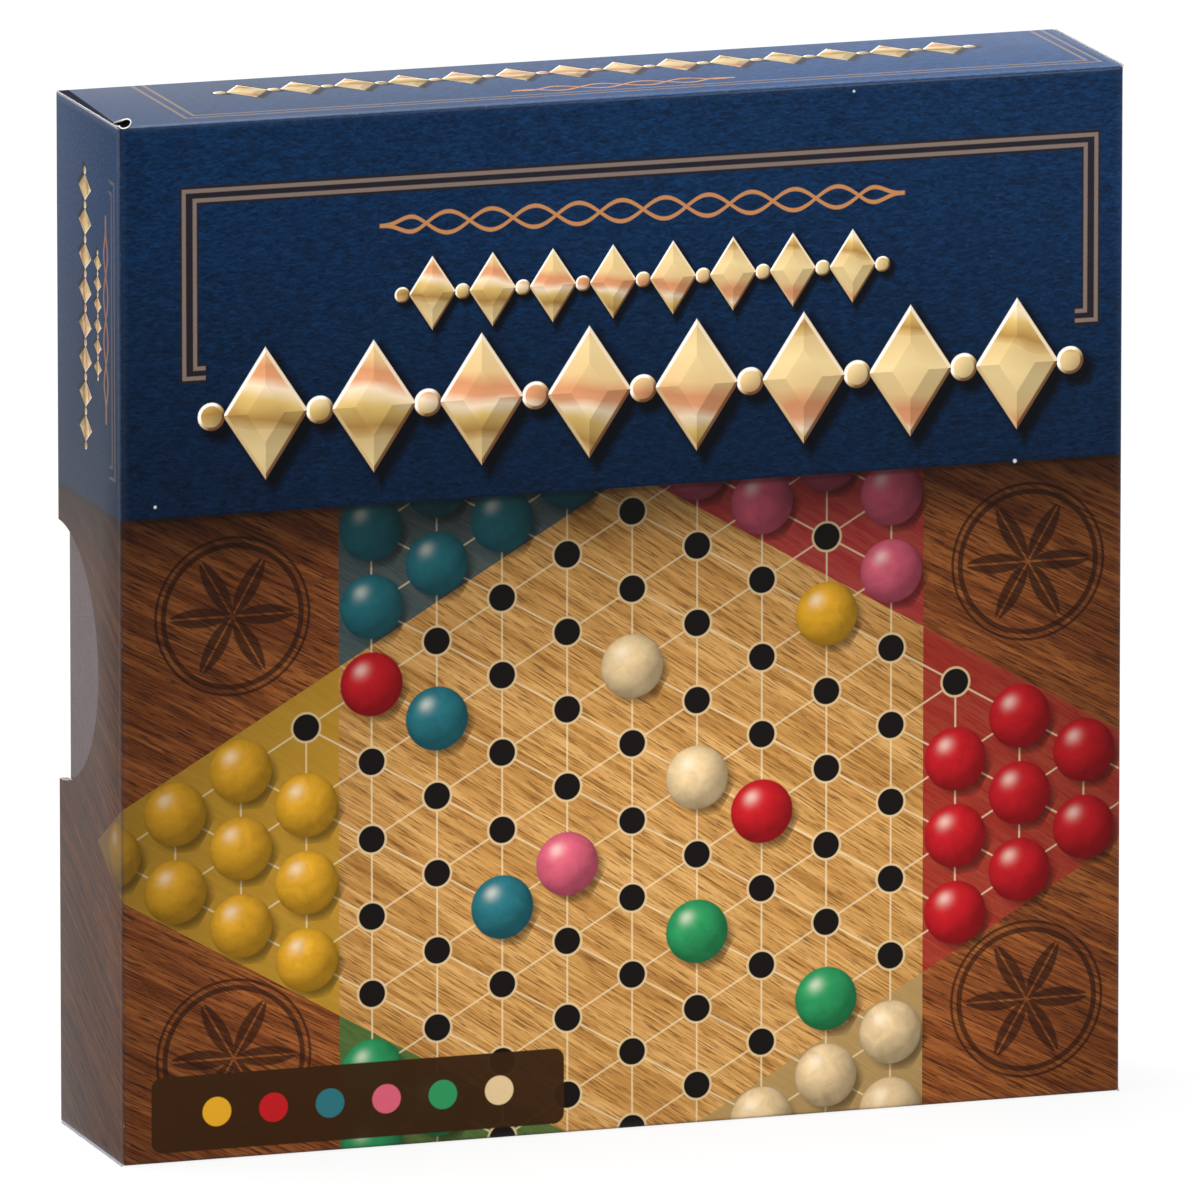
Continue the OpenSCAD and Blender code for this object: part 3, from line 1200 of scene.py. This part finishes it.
def pulp(name, dark, light, fibre_size, rough, tray=None):
    """Paper or board: clouds, fibres and a slight tooth, with rubbed folds on a wrapped tray."""
    material, shader, place = new_finish(name)
    cloud = clouds(place, 0.05, 4.0, 0.6)
    fibre = clouds(place, 1 / fibre_size, 4.0, 0.7, 1.2)
    colour = ramp(cloud * 0.22 + fibre * 0.78, (0.36, dark), (0.64, light))
    specks = ease(clouds(place, 2.3, 1.0), 0.66, 0.74)
    colour = dim(colour, 1 - specks * (0.5 * (1 - light[0])))
    if tray:
        x, y, z = place
        rub = clouds(place, 0.5, 5.0, 0.7)
        worn = ease(fold_gap(place, *tray), 1.6, 0.1) * (ease(rub, 0.4, 0.66) * 0.7 + 0.2)
        slant = vector((x + z) * 0.2, y * 0.2, (x - z) * 0.011)
        scuff = ease(noise(slant, 5.0, 0.7, 0.8), 0.55, 0.8) * ease(cloud, 0.42, 0.62)
        colour = paint(colour, PAPER_WHITE, most(worn, scuff * 0.2))
    plug(shader, Base_Color=colour, Roughness=rough + (fibre - 0.5) * 0.2, Specular_IOR_Level=0.1)
    bumped(shader, fibre, 0.25, 0.06)
    return material


base_low, base_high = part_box("base_wrap")
base_folds = (base_low, base_high, base_high.y)
paper_core = pulp("paper_core", ink(214, 210, 204), ink(240, 238, 234), 0.5, 0.75)
plain_paper = pulp("plain_paper", ink(106, 95, 96), ink(130, 119, 120), 0.7, 0.72, base_folds)
grey_board = pulp("grey_board", ink(118, 110, 100), ink(178, 170, 156), 1.1, 0.85)
gummed_tape = pulp("gummed_tape", ink(150, 118, 80), ink(192, 160, 116), 0.8, 0.55)


def dress(node, finish):
    """Give a CAD node a better finish."""
    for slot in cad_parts[node].material_slots:
        slot.material = finish


def is_punched(face):
    """Whether a face of the wrap is the cut edge of a notch."""
    from_punch = math.hypot(face.center.y - lid_high.y, face.center.z - notch_z)
    return near(from_punch, NOTCH_RADIUS, 0.1 * MM) and abs(face.normal.x) < 0.5


for node in ("lid_shell", "base_tray"):
    dress(node, grey_board)
for node in ("lid_corner_tapes", "base_corner_tapes"):
    dress(node, gummed_tape)
print("white cut faces:", finish_faces(lid_paper, paper_core, is_punched))

# %% [markdown]
# ## Loose paper at the corners
# The side walls' paper is cut flush with the depth edges of the lid. There the raw edge stands off
# a little, shows white, and leaves a dark gap beside it. Each lip starts as a narrow plane on the
# wall, is drawn up in three steps that flare outwards, and is roughened as a cut by hand is.

# %% Draw the lips up
LIP_STEPS = ((0.06, 0.45), (0.12, 0.35), (0.16, 0.3))
LIP_RISE = 1.0 * MM
LIP_FOOT = 1.0 * MM
LIP_SUNK = 0.16 * MM
LIP_SHORT = 1.4 * MM
LIP_CUTS = 24
LIP_ROUGH = 0.06 * MM
LIP_PAPER = 0.3 * MM
RAW_EDGE = 0.5 * MM


def paper_lip(name, side, end):
    """A strip of the side wall's paper that flares at one depth edge of the lid."""
    wall_x = lid_low.x if side < 0 else lid_high.x
    fold_z = lid_low.z if end < 0 else lid_high.z
    start_z = fold_z - end * LIP_RISE
    depth = lid_high.y - lid_low.y
    piece = add(
        name,
        bpy.ops.mesh.primitive_plane_add,
        (LIP_FOOT, depth - LIP_SHORT, 1),
        size=1,
        location=(wall_x - side * LIP_SUNK, lid_middle.y, start_z - end * LIP_FOOT / 2),
        rotation=(0, -side * math.pi / 2, 0),
    )
    pick_all(piece)
    for number in range(1, LIP_CUTS):
        cut_y = lid_low.y + number * depth / LIP_CUTS
        bpy.ops.mesh.select_all(action="SELECT")
        bpy.ops.mesh.bisect(plane_co=(0, cut_y, 0), plane_no=(0, 1, 0))
    object_mode()
    pick(piece, "EDGE", lambda a, b: near(a.z, start_z) and near(b.z, start_z))
    for out, up in LIP_STEPS:
        step = (side * out * MM, 0, end * up * MM)
        bpy.ops.mesh.extrude_region_move(TRANSFORM_OT_translate={"value": step})
    bpy.ops.transform.vertex_random(offset=LIP_ROUGH, seed=5 + side + 2 * end)
    object_mode()
    thicken(piece, LIP_PAPER, 0.4)
    smooth(piece, 50)
    unfold(piece, lid_low, lid_high)
    piece.data.materials.append(lid_finish)
    finish_faces(piece, raw_edge, lambda face: end * (face.center.z - fold_z) > -RAW_EDGE)
    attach(piece, "lid")


raw_edge = pulp("raw_edge", ink(146, 147, 156), ink(192, 193, 202), 0.5, 0.75)
for side_name, side in (("left", -1), ("right", 1)):
    for end_name, end in (("bottom", -1), ("top", 1)):
        paper_lip("paper_lip_" + end_name + "_" + side_name, side, end)
print("lips flare over", round(sum(up for _, up in LIP_STEPS), 2), "mm")

# %% [markdown]
# The gap beside each lip lies in deep shade, so the rounded fold there gets a dark finish. Its
# faces are those on the outside that tilt sideways and also up or down, but not to the front.

# %% Shade the gaps beside the lips
def is_seam(face):
    """Whether a face of the wrap lies in the gap beside a lip."""
    normal = face.normal
    outside = normal.z * (face.center.z - lid_middle.z) > 0
    return outside and abs(normal.z) > 0.6 and abs(normal.x) > 0.15 and abs(normal.y) < 0.1


seam_shade = pulp("seam_shade", ink(10, 9, 9), ink(24, 21, 20), 0.8, 0.9)
print("dark seam faces:", finish_faces(lid_paper, seam_shade, is_seam))

# %% [markdown]
# At the front corner on the upper left the cut end of the paper has rolled up into a small open
# cone. It starts as a ring, loses the arc where the gap runs into it, and is drawn out along the
# fold while it narrows. Its inside lies in deep shade.

# %% Roll the small curl
CURL_WIDE = 1.6 * MM
CURL_TALL = 1.1 * MM
CURL_LEAN = math.radians(22)
CURL_FROM_CORNER = Vector((1.6, -0.2, 1.05)) * MM
CURL_TAIL = Vector((-1.2, 5.0, -0.85)) * MM
CURL_NARROW = 0.25
CURL_PAPER = 0.32 * MM


def in_mouth(a, b):
    """Whether an edge of the ring lies where the gap runs into it."""
    away = (a + b) / 2 - curl_heart
    return away.x < -0.5 * CURL_WIDE and away.z > -0.4 * CURL_TALL


def is_inside(face):
    """Whether a face looks at the line through the middle of the cone."""
    along = (face.center.y - curl_heart.y) / CURL_TAIL.y
    outwards = face.center - curl_heart - along * CURL_TAIL
    return face.normal.dot(outwards) < 0 and abs(face.normal.y) < 0.7


curl_heart = Vector((lid_low.x, lid_low.y, lid_high.z)) + CURL_FROM_CORNER
curl = add(
    "paper_curl",
    bpy.ops.mesh.primitive_circle_add,
    (CURL_WIDE, CURL_TALL, 1),
    vertices=28,
    radius=1,
    location=curl_heart,
    rotation=(math.pi / 2, -CURL_LEAN, 0),
)
pick(curl, "EDGE", in_mouth)
bpy.ops.mesh.delete(type="EDGE")
bpy.ops.mesh.select_all(action="SELECT")
bpy.ops.mesh.extrude_region_move(TRANSFORM_OT_translate={"value": CURL_TAIL})
bpy.ops.transform.resize(
    value=(CURL_NARROW, 1, CURL_NARROW), center_override=curl_heart + CURL_TAIL
)
object_mode()
thicken(curl, CURL_PAPER, 0)
smooth(curl, 50)
curl.data.materials.append(paper_core)
print("shaded faces in the curl:", finish_faces(curl, seam_shade, is_inside))
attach(curl, "lid")

# %% [markdown]
# ## Base
# The base is the same wrapped tray turned round, a little smaller so that the lid slides over it.
# It shows through the thumb notches and whenever the lid is lifted.

# %% Fold the base's paper
base_paper = fold_paper("base_paper", base_low, base_high, -1)
smooth(base_paper)
base_paper.data.materials.append(plain_paper)
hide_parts("base_wrap")
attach(base_paper, "base")
print("base paper faces:", len(base_paper.data.polygons))

# %% [markdown]
# ## Formed insert
# The insert is one black plastic sheet drawn down over a mould: a recess for the board, six wells
# for the balls and a shallow pocket for the rules. By hand that is a block with its pockets cut,
# its back removed and its edges rounded, which a thickness then turns into a sheet.
# Each pocket is measured from what lies in it, plus some play.

# %% Cut the pockets of the insert
REST_GAP = 0.3 * MM
BOARD_PLAY, BOARD_CORNER = 0.6 * MM, 5.6 * MM
LEAFLET_PLAY, LEAFLET_CORNER = 0.8 * MM, 0.8 * MM
BALL_PLAY, BALL_CORNER = 0.3 * MM, 6.6 * MM
INSERT_CORNER = 4 * MM
CLEAR = 5 * MM
BALL_SETS = ("red", "green", "pink", "yellow", "blue", "white")


def round_uprights(piece, radius):
    """Round the edges of a box that run along its depth."""
    pick(piece, "EDGE", lambda a, b: not near(a.y, b.y))
    bpy.ops.mesh.bevel(offset=radius, segments=8, profile=0.5, affect="EDGES")
    object_mode()


def cut_pocket(low, high, back_y, play, radius):
    """Cut a pocket with round corners into the insert, round a box and down to its back."""
    tool = block(
        "tool",
        (low.x - play, insert_low.y - CLEAR, low.z - play),
        (high.x + play, back_y + REST_GAP, high.z + play),
    )
    round_uprights(tool, radius)
    cut_out(insert, tool)


insert_low, insert_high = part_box("insert_tray")
insert = block("insert_sheet", insert_low, insert_high)
round_uprights(insert, INSERT_CORNER)
board_low, board_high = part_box("board_panel")
cut_pocket(board_low, board_high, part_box("board_back")[1].y, BOARD_PLAY, BOARD_CORNER)
leaf_low, leaf_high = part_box("rules_leaflet")
cut_pocket(leaf_low, leaf_high, leaf_high.y, LEAFLET_PLAY, LEAFLET_CORNER)
for set_name in BALL_SETS:
    set_low, set_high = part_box("marbles_" + set_name)
    cut_pocket(set_low, set_high, set_high.y, BALL_PLAY, BALL_CORNER)
print("insert faces with pockets:", len(insert.data.polygons))

# %% [markdown]
# The sheet is nearly black. Forming leaves a fine orange peel on it and handling a few clouds of
# dust, so its gloss is uneven.

# %% Turn the block into a formed sheet
SHEET = 0.8 * MM
SHEET_FOLD = 0.7 * MM
SHARP = math.radians(50)


def black_plastic():
    """Formed plastic: nearly black, with a fine orange peel and a few clouds of dust."""
    material, shader, place = new_finish("black_plastic")
    dust_and_sheen = clouds(place, 0.06, 5.0, 0.65)
    colour = ramp(dust_and_sheen, (0.35, ink(22, 22, 24)), (0.7, ink(40, 40, 43)))
    plug(shader, Base_Color=colour, Roughness=0.3 + dust_and_sheen * 0.25, Specular_IOR_Level=0.45)
    bumped(shader, clouds(place, 0.9, 2.0), 0.12, 0.08)
    return material


pick(insert, "FACE", lambda centre, normal: normal.y > 0.9 and near(centre.y, insert_high.y))
bpy.ops.mesh.delete(type="ONLY_FACE")
object_mode()
modify(insert, "BEVEL", width=SHEET_FOLD, segments=3, limit_method="ANGLE", angle_limit=SHARP)
thicken(insert, SHEET, -1)
smooth(insert)
insert.data.materials.append(black_plastic())
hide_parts("insert_tray")
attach(insert, "insert")
print("insert faces as a sheet:", len(insert.data.polygons))

# %% [markdown]
# ## Star board
# The board is a fibreboard panel with 121 drilled sockets, a printed sheet on its face and plain
# brown paper on its back. The CAD shapes are right, so they keep their meshes and get finishes.
# The face is printed with the same lattice as the lid, at the real pitch of the sockets.

# %% Finish the board
SOCKET_PITCH = 16.0576
STAR_REACH = 4.36
STAR_LINE = 0.05
SOCKET_RING = (4.1, 0.3, ink(226, 206, 166), 1.0)
SOCKET_RIM = (3.1, 0.25, ink(40, 24, 14), 1.0)
UPRIGHT = 90
BOARD_MID_Z = (board_low.z + board_high.z) / 2 / MM


def board_print():
    """Oak with a star, six coloured points, thin lines and a ring round each socket."""
    material, shader, place = new_finish("board_print")
    x, rise = place[0], place[2] - BOARD_MID_Z
    values, hole, step, line_gap = lattice(rise, x, SOCKET_PITCH)
    field = tinted(oak(x, rise, UPRIGHT, 2.0), values, STAR_REACH)
    field = paint(field, ink(224, 208, 172), ease(line_gap, 0.5, 0.24) * 0.75)
    ground = walnut(x, rise, UPRIGHT, 6.0)
    colour = paint(ground, ink(206, 170, 106), in_star(*values, STAR_REACH))
    colour = paint(colour, field, in_star(*values, STAR_REACH - STAR_LINE))
    colour = ringed_holes(colour, hole, step, SOCKET_RING, SOCKET_RIM)
    gloss = 0.3 + clouds(place, 0.05, 3.0) * 0.16
    plug(shader, Base_Color=colour, Roughness=gloss, Specular_IOR_Level=0.35)
    _, pores = grain(x, rise, UPRIGHT, 2.0)
    bumped(shader, pores, 0.12, 0.05)
    return material


dress("board_panel", pulp("board_core", ink(96, 64, 38), ink(150, 110, 70), 0.9, 0.82))
dress("board_face", board_print())
dress("board_back", pulp("board_backing", ink(104, 76, 50), ink(138, 106, 74), 0.6, 0.7))
print("board is", round((board_high.x - board_low.x) / MM, 1), "mm wide")

# %% [markdown]
# ## Balls
# The sixty playing balls are turned wood dipped in lacquer. A divided cube made round has no poles
# to pinch the shading, so one ball starts that way. A small flat is left where the dipping needle
# held it. It is then copied ten times for each colour, each copy turned its own way.

# %% Model one ball
BALL_CUTS = 11
FLAT_START, FLAT_HEIGHT = 0.975, 0.965


def turned_ball(radius):
    """A round ball with a small flat on its top."""
    piece = block("ball", (-radius,) * 3, (radius,) * 3)
    pick_all(piece)
    bpy.ops.mesh.subdivide(number_cuts=BALL_CUTS)
    bpy.ops.transform.tosphere(value=1.0)
    object_mode()
    grow = radius / max(point.co.length for point in piece.data.vertices)
    pick_all(piece)
    bpy.ops.transform.resize(value=(grow, grow, grow), center_override=(0, 0, 0))
    object_mode()
    pick(piece, "FACE", lambda centre, normal: centre.z > FLAT_START * radius)
    bpy.ops.transform.resize(value=(1, 1, 0), center_override=(0, 0, FLAT_HEIGHT * radius))
    object_mode()
    smooth(piece, 60)
    return piece


set_low, set_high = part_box("marbles_red")
BALL_RADIUS = (set_high.y - set_low.y) / 2
one_ball = turned_ball(BALL_RADIUS)
print("faces of one ball:", len(one_ball.data.polygons), "radius:", round(BALL_RADIUS / MM, 2), "mm")

# %% [markdown]
# Lacquer over wood shows a faint grain, small runs and a clear gloss. Each colour runs from a dark
# tone to a light one, and a clear coat over it gives the gloss.

# %% Lacquer the balls
LACQUERS = {
    "red": (ink(150, 18, 24), ink(196, 34, 38)),
    "green": (ink(26, 104, 62), ink(58, 158, 98)),
    "pink": (ink(186, 74, 98), ink(226, 118, 136)),
    "yellow": (ink(202, 136, 26), ink(236, 184, 62)),
    "blue": (ink(24, 82, 94), ink(54, 126, 138)),
    "white": (ink(206, 172, 122), ink(238, 214, 170)),
}


def lacquer(name, dark, light):
    """Coloured lacquer over wood: faint grain, small runs and a clear gloss."""
    material, shader, place = new_finish("lacquer_" + name)
    x, y, z = place
    grain_lines = noise(vector(x * 0.9, y * 0.25, z * 0.25), 4.0, 0.65, 0.7)
    runs = clouds(place, 0.25, 2.0)
    colour = ramp(grain_lines * 0.6 + runs * 0.4, (0.3, dark), (0.7, light))
    plug(shader, Base_Color=colour, Roughness=0.24 + runs * 0.16, Specular_IOR_Level=0.5)
    plug(shader, Coat_Weight=0.5, Coat_Roughness=0.12)
    bumped(shader, grain_lines, 0.06, 0.08)
    return material


print("lacquers:", ", ".join(LACQUERS))

# %% [markdown]
# The ten balls of a colour lie in two columns of five. A seeded draw turns each copy, so the small
# flats point every way, and yet the same way in every run.

# %% Lay out the balls
COLUMNS, ROWS = 2, 5
turns = random.Random(11)


def lay_out(name, low, high):
    """Copies of the ball in columns and rows that fill a box, made one piece."""
    first = low + Vector((BALL_RADIUS,) * 3)
    span = high - low - Vector((2 * BALL_RADIUS,) * 3)
    copies = []
    for column in range(COLUMNS):
        for row in range(ROWS):
            alone(one_ball)
            bpy.ops.object.duplicate()
            copy = bpy.context.object
            side = first.x + column * span.x / (COLUMNS - 1)
            rise = first.z + row * span.z / (ROWS - 1)
            copy.location = (side, (low.y + high.y) / 2, rise)
            copy.rotation_euler = [turns.uniform(-math.pi, math.pi) for _ in range(3)]
            bpy.ops.object.transform_apply(location=True, rotation=True, scale=True)
            copies.append(copy)
    alone(copies[0])
    for copy in copies:
        copy.select_set(True)
    bpy.ops.object.join()
    piece = bpy.context.object
    piece.name = name
    piece.data.name = name
    return piece


for set_name in BALL_SETS:
    node = "marbles_" + set_name
    balls = lay_out("balls_" + set_name, *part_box(node))
    balls.data.materials.append(lacquer(set_name, *LACQUERS[set_name]))
    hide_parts(node)
    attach(balls, node)
bpy.data.objects.remove(one_ball)
print("balls laid out:", COLUMNS * ROWS * len(BALL_SETS))

# %% [markdown]
# ## Folded rules
# The rules are one sheet folded twice. A leaf is a plane, its edge is spun half round for a fold,
# and the next leaf is drawn out from there, so the folds are round as in real paper.

# %% Fold the leaflet
LEAF = 0.3 * MM
LEAF_STEP = 0.45 * MM
SAME_POINT = 0.01 * MM


def draw_leaf(piece, fold_x, leaf_y, side, width):
    """Spin the open edge round a fold and draw the next leaf out of it."""
    def open_edge(y):
        return lambda a, b: near(a.x, fold_x) and near(b.x, fold_x) and near(a.y, y)

    pick(piece, "EDGE", open_edge(leaf_y))
    turn_about = (fold_x, leaf_y + LEAF_STEP / 2, 0)
    # Spin turns clockwise for a positive angle, so the minus lets the fold bulge outwards.
    bpy.ops.mesh.spin(steps=8, angle=-side * math.pi, center=turn_about, axis=(0, 0, 1))
    object_mode()
    pick(piece, "EDGE", open_edge(leaf_y + LEAF_STEP))
    bpy.ops.mesh.extrude_region_move(TRANSFORM_OT_translate={"value": (-side * width, 0, 0)})
    object_mode()


fold_room = (LEAF + LEAF_STEP) / 2
first_y = leaf_low.y + LEAF / 2
leaf_middle = (leaf_low + leaf_high) / 2
leaf_width = leaf_high.x - leaf_low.x - 2 * fold_room
leaflet = add(
    "folded_rules",
    bpy.ops.mesh.primitive_plane_add,
    (leaf_width, leaf_high.z - leaf_low.z, 1),
    size=1,
    location=(leaf_middle.x, first_y, leaf_middle.z),
    rotation=(math.pi / 2, 0, 0),
)
draw_leaf(leaflet, leaf_low.x + fold_room, first_y, -1, leaf_width)
draw_leaf(leaflet, leaf_high.x - fold_room, first_y + LEAF_STEP, 1, leaf_width)
pick_all(leaflet)
bpy.ops.mesh.remove_doubles(threshold=SAME_POINT)
bpy.ops.mesh.normals_make_consistent(inside=False)
object_mode()
thicken(leaflet, LEAF, 0)
smooth(leaflet)
print("leaflet spans", [round(v / MM, 2) for v in leaflet.dimensions])

# %% [markdown]
# The paper of the rules is off-white. Its print is a thin border and a small star of dots, drawn
# with the lattice of the board.

# %% Print the leaflet
STAR_RISE, STAR_PITCH, STAR_DOT = 30, 4.4, 1.5
BORDER_X, BORDER_Z = 38, 86


def leaflet_print():
    """Off-white paper with a small star of dots inside a thin border."""
    material, shader, place = new_finish("leaflet_paper")
    fibre = clouds(place, 1.4, 4.0, 0.7, 1.0)
    colour = ramp(fibre, (0.35, ink(222, 218, 206)), (0.65, ink(240, 237, 228)))
    x, rise = place[0], place[2] - leaf_middle.z / MM
    _, hole, step, _ = lattice(rise - STAR_RISE, x, STAR_PITCH)
    tint, is_home = by_home(hole, HOME_INKS, HOME_START)
    dots = paint(ink(90, 84, 78), tint, is_home)
    colour = ringed_holes(colour, hole, step, (STAR_DOT, 0.2, dots, 0.85))
    border = abs(most(abs(x) - BORDER_X, abs(rise) - BORDER_Z))
    colour = paint(colour, ink(40, 58, 92), ease(border, 0.6, 0.4) * 0.85)
    plug(shader, Base_Color=colour, Roughness=0.6 + fibre * 0.2, Specular_IOR_Level=0.2)
    bumped(shader, fibre, 0.2, 0.05)
    return material


leaflet.data.materials.append(leaflet_print())
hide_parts("rules_leaflet")
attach(leaflet, "leaflet")
print("leaflet printed")
